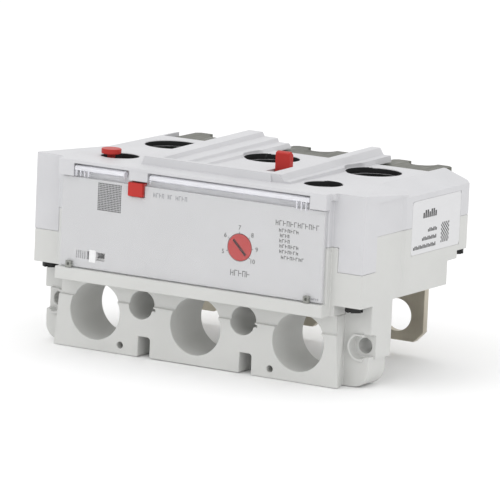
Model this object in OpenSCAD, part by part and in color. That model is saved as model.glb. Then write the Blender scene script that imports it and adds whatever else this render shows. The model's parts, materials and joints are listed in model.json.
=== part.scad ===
// Interchangeable three-pole thermal-magnetic trip unit of a molded case breaker.
// X runs across the poles, Y from the front face to the rear, Z up from the
// bottom of the terminal skirt. The origin is the middle of the whole unit's
// base. Inside the modules Y is measured from the skirt's front face.

/* [Housing] */
// Overall width across the side walls
overall_w = 139.2; // [138:0.1:141]
// Distance between the centres of neighbouring poles
pole_pitch = 43.3; // [43:0.1:43.6]
// Height of the flat deck of the upper cover
deck_z = 71; // [70.8:0.1:72]
// Thickness of the outer walls
wall = 3; // [2.5:0.1:3.2]
// Height of the seam between housing and cover on the sides
seam_z = 55.3; // [54.5:0.1:56]
// Distance that the front frame stands ahead of the skirt
frame_out = 7.5; // [7.5:0.1:8]

/* [Terminal skirt] */
// Depth of the skirt from front to rear
skirt_depth = 22.2; // [20:0.1:24]
// Radius of the three tool holes to the load terminals
lug_hole_r = 10.65; // [9.5:0.05:11]
// Height of the tool holes above the base
lug_hole_z = 14.5; // [14:0.1:15.5]
// Radius of the two fastening bores between the poles
fastening_r = 5.2; // [4:0.1:5.4]
// Radius of the holes in the side bosses
boss_hole_r = 2.8; // [2:0.1:3]

/* [Terminals] */
// Width of a load terminal
load_w = 23.2; // [20:0.1:25]
// Thickness of a load terminal
load_t = 3.1; // [2.6:0.1:3.1]
// Radius of the stud hole in a load terminal
stud_hole_r = 6.1; // [5:0.1:7]
// Width of a line terminal fork
fork_w = 25; // [22:0.1:26]
// Width of the open slot in a fork
fork_slot_w = 11; // [9:0.1:12]

/* [Front controls] */
// Radius of the setting dial
dial_r = 4.9; // [4:0.1:5]
// Turns of the button spring
button_spring_turns = 6; // [4:1:8]

/* [Trip parts] */
// Radius of the trip bar
bar_r = 3; // [2.6:0.1:3.1]
// Thickness of a bimetal strip
bimetal_t = 1.2; // [0.8:0.1:1.3]
// Thickness of an armature plate
armature_t = 1.8; // [1.4:0.1:1.8]

/* [Hidden] */
$fn = 64;

left = -pole_pitch;
middle = 0;
right = pole_pitch;
POLES = [left, middle, right];
SIDES = [-1, 1];

// Whole unit: half width, rear end of the forks, and the shift to the origin
half_w = overall_w / 2;
rear_y = 89;
origin_y = (rear_y - frame_out) / 2;
running_gap = 0.05;
overshoot = 1;

// Skirt
skirt_half_w = 58.5;
skirt_foot_half_w = 60.6;
skirt_top = 26.1;
band_z = 19.2;
band_depth = 1;
fastening_z = 19.3;
fastening_shift = -1.9;
phase_x = pole_pitch / 2;
boss_x = 65.2;
boss_z = 14.8;
boss_front = 10.7;
boss_recess_r = 4.2;
lobe_r = 5.2;
lobe_front = 6;
recess_x = 62.8;
block_half_w = 68.9;
block_front = 7;
block_rear = 19.4;
block_top = 11.4;
block_corner_r = 6;
overhang_z = 19.5;
notch_w = 5;
notch_z = 7.6;
column_y = 8;
column_front = 7;
column_rear = 21.8;

// Front frame
frame_half_w = 56.7;
ledge_top = 30.8;
front_seam_z = 51.4;
front_wall_y0 = -4.5;
front_wall_y1 = -1.5;
pillar_x = 59.3;
pillar_y0 = -1.8;
pillar_y1 = 11;
pillar_seam_z = 42.5;
tab_bottom = 30.3;

// Body
body_bottom = 31;
floor_z = body_bottom + 2.5;
step_y = 62;
step_z = 39.7;
rear_wall_y1 = 66.5;
rear_wall_y0 = rear_wall_y1 - 2.5;
rear_end = 78;
ear_x = 61.5;
ear_bottom = 42.6;
cavity_x = half_w - wall;
front_cavity_x = 54;
deck_t = 2.5;
ceiling_z = deck_z - deck_t;
phase_wall_t = 2.4;
barrier_half_w = 4;

// Deck
deck_half_w = 58.3;
side_top_z = deck_z - 4;
big_hole_r = 10.4;
rib_gap = 0.4;
big_hole_y = 50.3;
small_hole_r = 7.1;
small_hole_y = 13.5;
label_y0 = 33.4;
label_y1 = 70;
label_z0 = 45;
label_z1 = 65;
label_t = 0.2;
label_wall_y = 30;
side_inset = 0.6;
side_ramp = 2.2;
recess_foot_z = 33;
recess_fade = 13;
ridge_x0 = -26.6;
ridge_x1 = 26.9;
ridge_z = 74;
ridge_front = 2.6;
ridge_top_y0 = 3.4;
ridge_top_y1 = 5.4;
ridge_end_run = 0.8;

// Trip bar and its lever
bar_y = 30;
bar_z = 60;
bearing_x0 = 59.5;
bearing_x1 = 63.5;
lever_x0 = 14;
lever_x1 = 20;
lever_top = 78;
lever_hub_r = 4.6;

// Controls
dial_x = 20.8;
dial_z = 47.2;
dial_shaft_r = 2.5;
cam_r = 10.6;
cam_start_r = 5;
cam_rise = 4;
cam_slot_w = 2.1;
cam_pin_r = 0.9;
button_x0 = -26.6;
button_x1 = -20.4;
button_z0 = 60.5;
button_z1 = 65.6;
plunger_x = -45;
plunger_y = 10;
bar_slide_y0 = 5;
bar_slide_y1 = 7.5;
bar_slide_z0 = 44.5;
bar_slide_z1 = 50;
hinge_y = -6.2;
hinge_z = 67.9;
hinge_rod_r = 1.25;
hinge_pin_r = 0.7;
faceplate_y = -6;
window_x0 = -43.9;
window_x1 = -36.3;
window_z0 = 34.6;
window_z1 = 37.6;
grille_x0 = -48.6;
grille_pitch = 0.9;
grille_slot = 0.45;
post_x = 50.5;
post_shift = -0.5;
slider_x0 = -42.8;
slider_x1 = -40;

// Current path of one pole
leg_half_w = 9;
leg_front = 44;
line_leg_z = 57;
line_t = 2.8;
fork_top = 70;
fork_front = 69.5;
load_front = 73;
load_bottom = 5.1;
stud_hole_z = 14.6;
load_leg_z = 43.9;
heater_t = 2.6;
heater_y = 37.8;
heater_half_w = 7.5;
heater_rear = 57;
terminal_screw_r = 3;
yoke_half_w = 11;
yoke_t = 2.6;
yoke_front = 29.5;
armature_pin_y = 26.8;
armature_pin_z = 44.2;
armature_pin_r = 1;
armature_top = 57;
calibration_z = 64.7;
calibration_r = 1.25;
sleeve_t = 1.2;
sleeve_bore_r = big_hole_r + 0.2;
cup_bore_r = small_hole_r + 0.2;
sleeve_bottom = 60.3;
cup_bottom = 58.5;
cover_screw_r = 1.6;
front_screw_x = 64.5;
front_screw_y = 2.4;
rear_screw_x = 65.5;
rear_screw_y = 74.5;

// ---------------------------------------------------------------- helpers

module to_origin() translate([0, -origin_y, 0]) children();

module box(x0, x1, y0, y1, z0, z1)
    translate([x0, y0, z0]) cube([x1 - x0, y1 - y0, z1 - z0]);

// Box and its mirror image across the middle of the unit
module box_pair(x0, x1, y0, y1, z0, z1)
    for (s = SIDES)
        box(min(s * x0, s * x1), max(s * x0, s * x1), y0, y1, z0, z1);

// Outline in Y and Z, drawn out along X
module along_x(x0, x1)
    translate([x0, 0, 0]) rotate([90, 0, 90]) linear_extrude(x1 - x0) children();

// Outline in X and Z, drawn out along Y
module along_y(y0, y1)
    translate([0, y1, 0]) rotate([90, 0, 0]) linear_extrude(y1 - y0) children();

module rod_x(y, z, r, x0, x1)
    translate([x0, y, z]) rotate([0, 90, 0]) cylinder(r = r, h = x1 - x0);

module rod_y(x, z, r, y0, y1)
    translate([x, y1, z]) rotate([90, 0, 0]) cylinder(r = r, h = y1 - y0);

module rod_z(x, y, r, z0, z1)
    translate([x, y, z0]) cylinder(r = r, h = z1 - z0);

module slot_outline(x0, x1, z0, z1, r) {
    for (x = [x0 + r, x1 - r], z = [z0 + r, z1 - r])
        translate([x, z]) circle(r = r);
    translate([x0 + r, z0]) square([x1 - x0 - 2 * r, z1 - z0]);
    translate([x0, z0 + r]) square([x1 - x0, z1 - z0 - 2 * r]);
}

// Wire ring points of a coil along Z, and the coil as one closed tube
function coil_point(r, pitch, a) = [r * cos(a), r * sin(a), pitch * a / 360];
function coil_ring(r, wire_r, pitch, a, sides) = [
    for (k = [0:sides - 1])
        let (b = 360 * k / sides)
        coil_point(r, pitch, a)
            + [wire_r * cos(b) * cos(a), wire_r * cos(b) * sin(a), wire_r * sin(b)]];

module coil(r, wire_r, length, turns, steps = 16, sides = 8) {
    pitch = (length - 2 * wire_r) / turns;
    rings = turns * steps;
    points = [for (i = [0:rings])
        each coil_ring(r, wire_r, pitch, 360 * i / steps, sides)];
    walls = [for (i = [0:rings - 1], k = [0:sides - 1])
        [i * sides + k, i * sides + (k + 1) % sides,
         (i + 1) * sides + (k + 1) % sides, (i + 1) * sides + k]];
    caps = [[for (k = [sides - 1:-1:0]) k],
            [for (k = [0:sides - 1]) rings * sides + k]];
    translate([0, 0, wire_r])
        polyhedron(points = points, faces = concat(walls, caps), convexity = 8);
}

// --------------------------------------------------------------- mouldings

// Corner of the skirt's front face, wider at the foot than at the top
module skirt_corner(s) hull() {
    inner = s * (skirt_half_w - 2);
    for (level = [[0, skirt_foot_half_w], [skirt_top - 0.1, skirt_half_w]])
        translate([0, 0, level[0]]) linear_extrude(0.1)
            polygon([[inner, 0], [s * level[1], 0], [s * skirt_half_w, block_front],
                     [inner, block_front]]);
}

// One side of the skirt: foot block with a round lower corner, column and lobe
module skirt_side(s) {
    inner = s * (skirt_half_w - 1);
    skirt_corner(s);
    along_y(block_front, block_rear) {
        corner_x = s * (block_half_w - block_corner_r);
        translate([corner_x, block_corner_r]) circle(r = block_corner_r);
        polygon([[inner, 0], [corner_x, 0], [corner_x, block_corner_r],
                 [s * block_half_w, block_corner_r], [s * block_half_w, block_top],
                 [inner, block_top]]);
    }
    box(min(inner, s * half_w), max(inner, s * half_w),
        boss_front, column_rear, block_top - 1, overhang_z + 1);
    box(min(inner, s * recess_x), max(inner, s * recess_x),
        column_front, column_rear, block_top - 1, overhang_z + 1);
    box(min(inner, s * half_w), max(inner, s * half_w),
        column_front, column_rear, overhang_z, skirt_top);
    box(min(s * skirt_half_w, s * half_w), max(s * skirt_half_w, s * half_w),
        column_front, column_rear, skirt_top - 1, tab_bottom);
    box(min(inner, s * half_w), max(inner, s * half_w),
        pillar_y1, column_rear, overhang_z, body_bottom);
    // lobe round the boss recess, open towards the outside
    intersection() {
        rod_y(s * boss_x, boss_z, lobe_r, lobe_front, boss_front + 0.5);
        box(min(inner, s * (boss_x + 1.5)), max(inner, s * (boss_x + 1.5)),
            lobe_front, column_rear, 0, overhang_z);
    }
}

module terminal_skirt() color([0.85, 0.85, 0.83]) to_origin() difference() {
    union() {
        box(-skirt_half_w, skirt_half_w, 0, skirt_depth, 0, skirt_top);
        for (s = SIDES) skirt_side(s);
    }
    // recessed band under the front frame
    box(-skirt_half_w - overshoot, skirt_half_w + overshoot,
        -overshoot, band_depth, band_z, skirt_top + overshoot);
    for (x = POLES)
        rod_y(x, lug_hole_z, lug_hole_r, -overshoot, skirt_depth + overshoot);
    for (s = SIDES) {
        fastening_x = s * phase_x + fastening_shift;
        rod_y(fastening_x, fastening_z, fastening_r, -overshoot, skirt_depth + overshoot);
        rod_y(s * boss_x, boss_z, boss_recess_r, 0, boss_front);
        rod_y(s * boss_x, boss_z, boss_hole_r, boss_front - 1, column_rear + overshoot);
        rod_y(s * 32, 3.2, 1.25, -overshoot, 8);
        // barrier notch with a rounded outer corner
        along_y(-overshoot, skirt_depth + overshoot) {
            translate([s * phase_x - notch_w / 2, -overshoot])
                square([notch_w, notch_z + overshoot - 1.2]);
            translate([s * phase_x - notch_w / 2, 0]) square([notch_w - 1.2, notch_z]);
            translate([s * phase_x + notch_w / 2 - 1.2, notch_z - 1.2]) circle(r = 1.2);
        }
        // lightening pockets, open to the rear
        box(s * phase_x - 3.6, s * phase_x + 3.6, 4, skirt_depth + overshoot, 9.6, 13);
        box_pair(55.6, 57.5, 4, skirt_depth + overshoot, 3, 24);
        // driver notch beside the fastening bore
        box(fastening_x + fastening_r - 0.6, fastening_x + fastening_r + 1.2,
            -overshoot, 2.4, fastening_z - 1.6, fastening_z - 0.5);
    }
}

// Front cheek and screw tab on one side, below the front seam
module housing_tab(s) {
    box(min(s * front_cavity_x, s * skirt_half_w), max(s * front_cavity_x, s * skirt_half_w),
        pillar_y0, pillar_y1, skirt_top, tab_bottom);
    box(min(s * front_cavity_x, s * pillar_x), max(s * front_cavity_x, s * pillar_x),
        pillar_y0, pillar_y1, tab_bottom, front_seam_z);
    box(min(s * pillar_x, s * half_w), max(s * pillar_x, s * half_w),
        pillar_y0, pillar_y1, tab_bottom, pillar_seam_z);
}

module lower_housing() color([0.84, 0.84, 0.82]) to_origin() difference() {
    union() {
        // ledge and front wall behind the faceplate
        box(-frame_half_w, frame_half_w, -frame_out, pillar_y0, skirt_top, ledge_top);
        box(-frame_half_w, frame_half_w, pillar_y0, skirt_depth, skirt_top, floor_z);
        box(-frame_half_w, frame_half_w, front_wall_y0, front_wall_y1,
            ledge_top, front_seam_z);
        for (s = SIDES) housing_tab(s);
        // floor, side walls, rear step and rear wall
        box(-half_w, half_w, pillar_y1 - 3, step_y, body_bottom, floor_z);
        box_pair(cavity_x, half_w, column_y, step_y, body_bottom, seam_z);
        box_pair(cavity_x, half_w, step_y, rear_wall_y1 + 2.5, step_z, seam_z);
        box_pair(pillar_x, half_w, column_y, pillar_y1, tab_bottom, seam_z);
        box(-half_w, half_w, step_y - 2.5, step_y, body_bottom, step_z + 2.5);
        box(-half_w, half_w, step_y - 2.5, rear_wall_y1, step_z, step_z + 2.5);
        box(-half_w, half_w, rear_wall_y0, rear_wall_y1, step_z, seam_z);
        box_pair(ear_x, half_w, rear_wall_y0, rear_end, ear_bottom, seam_z);
        for (s = SIDES) {
            box(s * phase_x - phase_wall_t / 2, s * phase_x + phase_wall_t / 2,
                pillar_y1, rear_wall_y0 + 1, floor_z - 1, seam_z);
            box(s * phase_x - barrier_half_w, s * phase_x + barrier_half_w,
                rear_wall_y0, rear_end, ear_bottom, seam_z);
        }
        // bearing posts of the trip bar
        box_pair(bearing_x0, bearing_x1, bar_y - 4.5, bar_y + 4.5, floor_z - 1, bar_z);
        // lugs of the armature pins and pads under the heaters
        for (x = POLES) {
            for (s = SIDES)
                box(x + s * 13.2 - 1.2, x + s * 13.2 + 1.2, 24, 29.4, floor_z - 1, 46.8);
            box(x - 4, x + 4, 38.2, 43, floor_z - 1, load_leg_z - heater_t);
        }
        // guides of the adjusting bar
        for (x = [-29.5, 35.5])
            box(x - 1.5, x + 1.5, front_wall_y1 - 1, 9.5, 41, front_seam_z - 0.2);
    }
    for (x = POLES) {
        // slot for the leg of the load terminal
        box(x - leg_half_w - 0.3, x + leg_half_w + 0.3, rear_wall_y0 - 1,
            rear_wall_y1 + 1, load_leg_z - 0.3, load_leg_z + load_t + 0.3);
        rod_x(armature_pin_y, armature_pin_z, armature_pin_r + 0.03, x - 14.6, x + 14.6);
    }
    rod_x(bar_y, bar_z, bar_r + running_gap, -bearing_x1 - 1, bearing_x1 + 1);
    box(-50.3, 53, bar_slide_y0 - 0.3, bar_slide_y1 + 0.3,
        bar_slide_z0 - 0.3, bar_slide_z1 + 0.3);
    rod_y(dial_x, dial_z, dial_shaft_r + running_gap, -6, 0);
    box(window_x0, window_x1, front_wall_y0 - 1, front_wall_y1 + 1, 35.3, 37.1);
    for (s = SIDES) {
        rod_z(s * front_screw_x, front_screw_y, cover_screw_r + 0.1,
            tab_bottom - 1, pillar_seam_z + 1);
        rod_z(s * rear_screw_x, rear_screw_y, cover_screw_r + 0.1,
            ear_bottom - 1, seam_z + 1);
        // rounded rear corner of the side ears
        rear_corner_cut(s, ear_bottom - 1, seam_z + 1);
    }
    for (s = SIDES) side_recess(s, recess_foot_z, seam_z + 1, recess_fade);
    box(half_w - label_t, half_w + 1, label_y0, label_y1, label_z0, seam_z + 1);
}

module rear_corner_cut(s, z0, z1)
    translate([s * half_w, rear_end, z0]) rotate([0, 0, 45])
        translate([-1.4, -1.4, 0]) cube([2.8, 2.8, z1 - z0]);

// Sloping border between the deck and one side wall, ahead of the label wall
module front_shoulder(s) hull() {
    inner = s * (deck_half_w - 1);
    outer = s * half_w;
    box(min(inner, outer), max(inner, outer), pillar_y0, pillar_y0 + 1,
        ceiling_z - 3, deck_z);
    along_y(label_wall_y - 1, label_wall_y)
        polygon([[inner, ceiling_z - 3], [outer, ceiling_z - 3], [outer, deck_z - 3],
                 [s * deck_half_w, deck_z], [inner, deck_z]]);
}

// Rib that climbs a little from the front ridge to the rear. Its top runs from
// x0 to x1, and its sides slope out by the drafts on their way down.
module deck_rib(x0, x1, z_front, z_rear, draft0, draft1) intersection() {
    along_x(x0 - draft0, x1 + draft1)
        polygon([[ridge_top_y0, ceiling_z], [ridge_top_y0, z_front], [rear_end, z_rear],
                 [rear_end, ceiling_z + 2], [rear_wall_y1, ceiling_z + 2],
                 [rear_wall_y1, ceiling_z]]);
    along_y(0, rear_end + 1)
        polygon([[x0 - draft0, ceiling_z], [x0 - draft0, deck_z], [x0, z_rear],
                 [x1, z_rear], [x1 + draft1, deck_z], [x1 + draft1, ceiling_z]]);
}

// Ridge across the front of the deck, sloping down to the front border
module front_ridge() intersection() {
    along_x(ridge_x0 - ridge_end_run, ridge_x1 + ridge_end_run)
        polygon([[ridge_front, deck_z - 1], [ridge_front, deck_z], [ridge_top_y0, ridge_z],
                 [ridge_top_y1, ridge_z], [ridge_top_y1, deck_z - 1]]);
    along_y(ridge_front, ridge_top_y1)
        polygon([[ridge_x0 - ridge_end_run, deck_z - 1], [ridge_x0 - ridge_end_run, deck_z],
                 [ridge_x0, ridge_z], [ridge_x1, ridge_z],
                 [ridge_x1 + ridge_end_run, deck_z], [ridge_x1 + ridge_end_run, deck_z - 1]]);
}

// Shallow recess in one side wall ahead of the label, with a ramp at its rear
// and one of height fade at its foot
module side_recess(s, z0, z1, fade) intersection() {
    inside = s * (half_w - side_inset);
    outside = s * (half_w + 1);
    translate([0, 0, z0]) linear_extrude(z1 - z0)
        polygon([[inside, column_y], [outside, column_y], [outside, label_wall_y - 1],
                 [s * half_w, label_wall_y - 1], [inside, label_wall_y - 1 - side_ramp]]);
    along_y(column_y, label_wall_y)
        polygon([[s * half_w, z0], [inside, z0 + fade], [inside, z1], [outside, z1],
                 [outside, z0]]);
}

module upper_cover() color([0.87, 0.87, 0.90]) to_origin() difference() {
    union() {
        // front wall, top border, hinge corner blocks and the block over the button
        box(-frame_half_w, frame_half_w, front_wall_y0, front_wall_y1,
            front_seam_z, ceiling_z + 1);
        box(-frame_half_w, frame_half_w, -frame_out, 0, 69.8, deck_z);
        box_pair(50, frame_half_w, -frame_out, front_wall_y0 + 1, 65, deck_z);
        box(-26.2, -18.4, -frame_out + 0.1, front_wall_y0 + 1, 66.2, deck_z);
        // deck and shoulders
        box(-deck_half_w, deck_half_w, -4, rear_wall_y1, ceiling_z, deck_z);
        for (s = SIDES) front_shoulder(s);
        for (s = SIDES)
            along_y(label_wall_y, rear_end)
                polygon([[s * (deck_half_w - 1), ceiling_z - 3], [s * half_w, ceiling_z - 3],
                         [s * half_w, side_top_z], [s * deck_half_w, deck_z],
                         [s * (deck_half_w - 1), deck_z]]);
        // pillars, cheeks and side walls
        box_pair(pillar_x, half_w, pillar_y0, column_y, pillar_seam_z, ceiling_z);
        box_pair(pillar_x, half_w, pillar_y0, pillar_y1, seam_z, ceiling_z);
        box_pair(front_cavity_x, pillar_x, pillar_y0, pillar_y1, front_seam_z, ceiling_z);
        box_pair(cavity_x, half_w, column_y, rear_end, seam_z, ceiling_z - 2);
        box_pair(ear_x, half_w, rear_wall_y0, rear_end, seam_z, ceiling_z - 2);
        // rear wall, phase walls and phase barriers
        box(-half_w + 1, half_w - 1, rear_wall_y0, rear_wall_y1, seam_z, ceiling_z - 2);
        box(-deck_half_w, deck_half_w, rear_wall_y0, rear_wall_y1, ceiling_z - 3, deck_z);
        for (s = SIDES) {
            box(s * phase_x - phase_wall_t / 2, s * phase_x + phase_wall_t / 2,
                pillar_y1, rear_wall_y0 + 1, seam_z, ceiling_z + 1);
            box(s * phase_x - barrier_half_w, s * phase_x + barrier_half_w,
                rear_wall_y0, rear_end, seam_z, deck_z);
        }
        // stepped ribs and the ridge that joins them at the front
        deck_rib(-26.6, -20.6, ridge_z, 75.4, 0.4, 2.6);
        deck_rib(-21, -13.8, 72.6, 73.9, 0, 1.2);
        deck_rib(-14, -8.9, 71.6, 72.4, 0, 0.9);
        deck_rib(ridge_x1, 30.2, ridge_z, 75.4, 1.8, 2.8);
        deck_rib(30, 34.8, 71.8, 72.9, 0, 0.4);
        front_ridge();
        // upper halves of the trip bar bearings and the button spring's seat
        box_pair(bearing_x0, bearing_x1, bar_y - 4.5, bar_y + 4.5, bar_z + 0.2, ceiling_z);
        box(-33.2, -26.6, 8.4, 10.6, 59, ceiling_z + 1);
    }
    for (x = POLES) {
        rod_z(x, big_hole_y, big_hole_r, ceiling_z - 1, deck_z + 1);
        rod_z(x, small_hole_y, small_hole_r, ceiling_z - 1, deck_z + 1);
        rod_z(x, big_hole_y, big_hole_r + rib_gap, deck_z, deck_z + 6);
        rod_z(x, small_hole_y, small_hole_r + rib_gap, deck_z, deck_z + 6);
        // slot for the leg of the line terminal
        box(x - leg_half_w - 0.4, x + leg_half_w + 0.4, rear_wall_y0 - 1,
            rear_wall_y1 + 1, seam_z - 1, line_leg_z + line_t + 0.4);
        // the fork lies under the rib steps
        box(x - fork_w / 2 - 0.5, x + fork_w / 2 + 0.5, rear_wall_y1, rear_end + 1,
            fork_top - 15, fork_top + 0.4);
    }
    rod_x(bar_y, bar_z, bar_r + running_gap, -bearing_x1 - 1, bearing_x1 + 1);
    box_pair(phase_x - 3, phase_x + 3, bar_y - 6, bar_y + 6, seam_z - 1, bar_z + 6.5);
    // slot of the trip lever and window of the button
    box(lever_x0 - 0.6, lever_x1 + 0.6, bar_y - 6.5, bar_y + 2.5, ceiling_z - 1, deck_z + 4);
    box(button_x0 - 0.1, button_x1 + 0.1, front_wall_y0 - 4, front_wall_y1 + 1,
        button_z0 - 0.1, button_z1 + 0.1);
    // bores of the cover's hinge pins
    for (s = SIDES)
        rod_x(hinge_y, hinge_z, hinge_pin_r, min(s * 49, s * 53.5), max(s * 49, s * 53.5));
    for (s = SIDES) {
        rod_z(s * front_screw_x, front_screw_y, cover_screw_r + 0.02, pillar_seam_z - 1, 54);
        rod_z(s * rear_screw_x, rear_screw_y, cover_screw_r + 0.02, seam_z - 1, 63);
        rear_corner_cut(s, seam_z - 1, deck_z + 1);
    }
    for (s = SIDES) side_recess(s, seam_z - 1, deck_z - 3.4, 0.01);
    box(half_w - label_t, half_w + 1, label_y0, label_y1, seam_z - 1, label_z1);
}

module faceplate() color([0.80, 0.80, 0.81]) to_origin() difference() {
    box(-55.6, 55.6, faceplate_y, front_wall_y0, 31.2, 64.6);
    rod_y(dial_x, dial_z, dial_r + 0.2, faceplate_y - 1, front_wall_y0 + 1);
    box(window_x0, window_x1, faceplate_y - 1, front_wall_y0 + 1, window_z0, window_z1);
    box(button_x0 - 0.3, button_x1 + 0.3, faceplate_y - 1, front_wall_y0 + 1,
        button_z0 - 0.3, 66);
    // grille beside the slider's window
    for (k = [0:4]) {
        slot_x = grille_x0 + k * grille_pitch;
        box(slot_x, slot_x + grille_slot, faceplate_y - 1, faceplate_y + 0.5,
            window_z0, window_z1);
    }
}

module clear_cover() color([0.9, 0.92, 0.95, 0.4]) to_origin() {
    panel_y = -frame_out + 0.2;
    difference() {
        union() {
            box(-56.4, 56.4, panel_y, panel_y + 0.8, 31, 66.6);
            box_pair(55.9, 56.4, panel_y, faceplate_y + 0.4, 31, 64.6);
            for (span = [[-49.7, -28.4], [-17.5, 49.7]]) {
                rod_x(hinge_y, hinge_z, hinge_rod_r, span[0], span[1]);
                box(span[0], span[1], panel_y, panel_y + 0.8, 66, hinge_z);
            }
            // pull tab
            box(-3.6, 1.3, -frame_out, panel_y + 0.2, 31.5, 33.5);
        }
        box_pair(49.7, 57, -frame_out - 1, faceplate_y + 1, 64.7, 70);
        box(-28.4, -17.5, -frame_out - 1, faceplate_y + 1, 65.6, 70);
        box(button_x0 - 0.6, button_x1 + 0.6, -frame_out - 1, faceplate_y + 1,
            button_z0 - 0.6, 67);
        for (s = SIDES)
            box(s * post_x + post_shift - 1.4, s * post_x + post_shift + 1.4,
                -frame_out - 1, faceplate_y + 1, 30, 33.6);
        for (s = SIDES)
            rod_x(hinge_y, hinge_z, hinge_pin_r + running_gap,
                min(s * 46.5, s * 50), max(s * 46.5, s * 50));
    }
}

module cover_hinge_pins() color("silver") to_origin()
    for (s = SIDES)
        rod_x(hinge_y, hinge_z, hinge_pin_r, min(s * 46.7, s * 53.4),
            max(s * 46.7, s * 53.4));

module seal_posts() color([0.6, 0.6, 0.6]) to_origin()
    for (s = SIDES) translate([s * post_x + post_shift, 0, 0]) difference() {
        box(-1.2, 1.2, -frame_out, faceplate_y, 30.9, 33.4);
        rod_x(-6.9, 32.3, 0.35, -2, 2);
        rod_y(0, 32.3, 0.6, -frame_out - 1, -6.6);
    }

module side_label() color("white") to_origin()
    translate([half_w - label_t, 0, 0]) rotate([90, 0, 90]) linear_extrude(label_t)
        slot_outline(label_y0 + 0.1, label_y1 - 0.1, label_z0 + 0.1, label_z1 - 0.1, 1.5);

// ---------------------------------------------------------- front controls

module push_to_trip_button() color([0.78, 0.18, 0.16]) to_origin() {
    box(button_x0, button_x1, -frame_out + 0.1, -1.4, button_z0, button_z1);
    box(-33, -18, -1.45, 0.2, 59.6, 66.6);
    box(-26, -23.4, 0.1, 24.6, 61, 64);
    box(-26, -23.4, 22, 24.6, 53, 64);
    box(-26, -23.4, 24.5, 26.9, 53, 54.1);
    rod_y(-29.6, 63, 1, 0.1, 2.6);
}

module button_spring() color("gray") to_origin()
    translate([-29.6, 0.2, 63]) rotate([-90, 0, 0])
        coil(1.9, 0.3, 6, button_spring_turns);

module setting_dial() color([0.78, 0.2, 0.18]) to_origin() difference() {
    union() {
        rod_y(dial_x, dial_z, dial_r, faceplate_y - 0.1, front_wall_y0 - 0.1);
        rod_y(dial_x, dial_z, dial_shaft_r, front_wall_y0 - 0.2, 2);
    }
    // driver slot, pointing up to the left
    translate([dial_x, faceplate_y - 0.1, dial_z]) rotate([0, -45, 0])
        cube([0.9, 1.4, 7.4], center = true);
}

// Radius of one wall of the cam's spiral slot at angle a
function cam_wall(a, side) =
    (cam_start_r + cam_rise * a / 180 + side * cam_slot_w / 2) * [cos(a), sin(a)];

// Cam whose slot moves the bar by cam_rise in half a turn
module dial_cam() color("dimgray") to_origin() difference() {
    rod_y(dial_x, dial_z, cam_r, -1.4, 2);
    rod_y(dial_x, dial_z, dial_shaft_r + 0.02, -2, 3);
    translate([dial_x, 0, dial_z]) along_y(0.2, 3)
        polygon(concat([for (a = [-64:4:192]) cam_wall(a, 1)],
                       [for (a = [192:-4:-64]) cam_wall(a, -1)]));
}

module adjusting_bar() color([0.2, 0.2, 0.22]) to_origin() {
    box(-49.8, 47, bar_slide_y0, bar_slide_y1, bar_slide_z0, bar_slide_z1);
    rod_y(dial_x + cam_start_r, dial_z, cam_pin_r, 0.4, bar_slide_y0 + 0.1);
    for (x = POLES)
        box(x - 2.4, x + 2.4, bar_slide_y0 + 0.6, bar_slide_y1, bar_slide_z1 - 0.1, 54);
}

module indicator_slider() color([0.93, 0.93, 0.93]) to_origin() {
    // thumb pad over the window, and the block that slides in it
    box(slider_x0, slider_x1, faceplate_y - 0.22, faceplate_y - 0.02, 33.7, 38.3);
    box(slider_x0, slider_x1, faceplate_y - 0.03, front_wall_y0 - 0.1,
        window_z0 + 0.1, window_z1 - 0.1);
    box(slider_x0 + 0.5, slider_x1 - 0.5, front_wall_y0 - 0.2, -0.4, 35.5, 36.9);
}

module slider_clip() color("silver") to_origin() difference() {
    box(slider_x0 - 0.8, slider_x1 + 0.8, -1.4, -0.6, 34, 38.4);
    box(slider_x0 + 0.5, slider_x1 - 0.5, -2, 0, 35.5, 36.9);
}

// ------------------------------------------------------------- trip parts

module trip_bar() color([0.15, 0.15, 0.17]) to_origin() {
    difference() {
        rod_x(bar_y, bar_z, bar_r, -64.5, 64.5);
        // driver slots in the ends
        box_pair(64, 65, bar_y - 4, bar_y + 4, bar_z - 0.5, bar_z + 0.5);
    }
    for (x = POLES) {
        box(x - 3, x + 3, 29.2, 30.6, bar_z, calibration_z + 1.7);
        box(x - 3, x + 3, 28.9, 30.4, 54.5, bar_z);
    }
    // paddle that the button pushes
    box(-27, -23.2, 27.35, 30, 53.8, bar_z);
}

module trip_bar_spring() color("gray") to_origin()
    translate([55.2, bar_y, bar_z]) rotate([0, 90, 0])
        coil(3.6, 0.3, 4, 4, steps = 20);

module trip_lever() color([0.80, 0.15, 0.15]) to_origin() {
    difference() {
        union() {
            rod_x(bar_y, bar_z, lever_hub_r, lever_x0 + 1.5, lever_x1);
            along_x(lever_x0, lever_x1)
                polygon([[bar_y - 1.6, bar_z], [bar_y + 1.6, bar_z],
                         [bar_y + 1.6, lever_top - 1.4], [bar_y + 0.2, lever_top],
                         [bar_y - 1.6, lever_top - 0.6]]);
        }
        rod_x(bar_y, bar_z, bar_r + 0.01, lever_x0 - 1, lever_x1 + 1);
    }
}

module interlock_plunger() color([0.80, 0.15, 0.15]) to_origin() {
    rod_z(plunger_x, plunger_y, 3.7, 72, 73.9);
    box(plunger_x - 1.2, plunger_x + 1.2, plunger_y - 1, plunger_y + 1, 56.5, 72.6);
    rod_z(plunger_x, plunger_y, 2.3, 66.4, 67.4);
    box(plunger_x - 2.2, plunger_x + 2.2, plunger_y - 1, plunger_y + 1, 56.5, 58.2);
}

module plunger_spring() color("gray") to_origin()
    translate([plunger_x, plunger_y, cup_bottom + sleeve_t])
        coil(1.95, 0.25, 66.4 - cup_bottom - sleeve_t, 6);

// ------------------------------------------------------------ current path

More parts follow.
